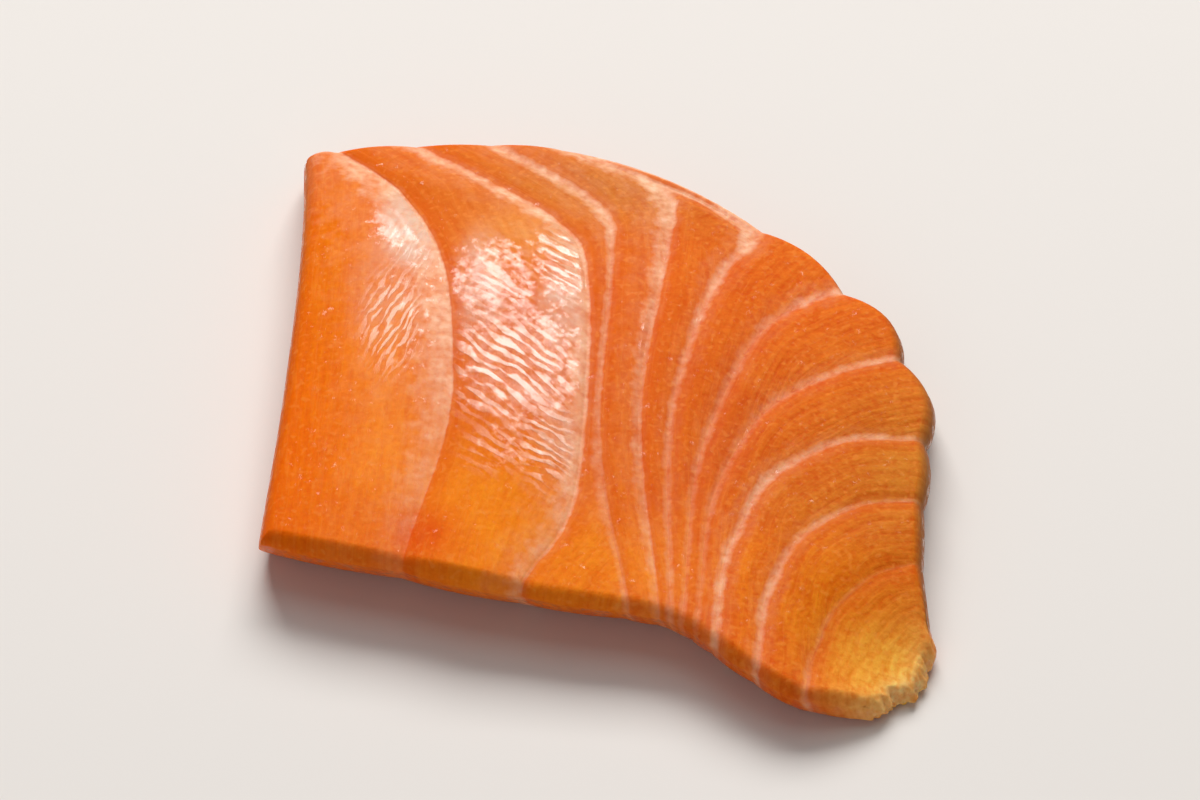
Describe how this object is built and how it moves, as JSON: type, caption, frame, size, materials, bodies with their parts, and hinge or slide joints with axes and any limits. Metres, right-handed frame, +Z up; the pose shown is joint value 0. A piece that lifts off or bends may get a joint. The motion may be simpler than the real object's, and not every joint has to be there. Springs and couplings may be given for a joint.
{
  "type": "salmon sashimi slice",
  "caption": "Raw salmon slice for sashimi, lying flat with its cut face up: muscle blocks between curved seams of fat, a scalloped skin side and a thin ragged corner.",
  "frame": {"origin": "middle of the footprint, on the surface that the slice lies on", "axes": "+Z up out of the cut face, +Y along the slice from the front cut edge to the back edge, +X across the slice from its straight cut end to its scalloped skin side and ragged corner"},
  "size_m": [0.0482, 0.0576, 0.0081],
  "materials": {
    "salmon_flesh": "wet orange flesh with pale seams of fat"
  },
  "bodies": {
    "root": {"salmon_slice": "salmon_flesh"}
  },
  "joints": []
}
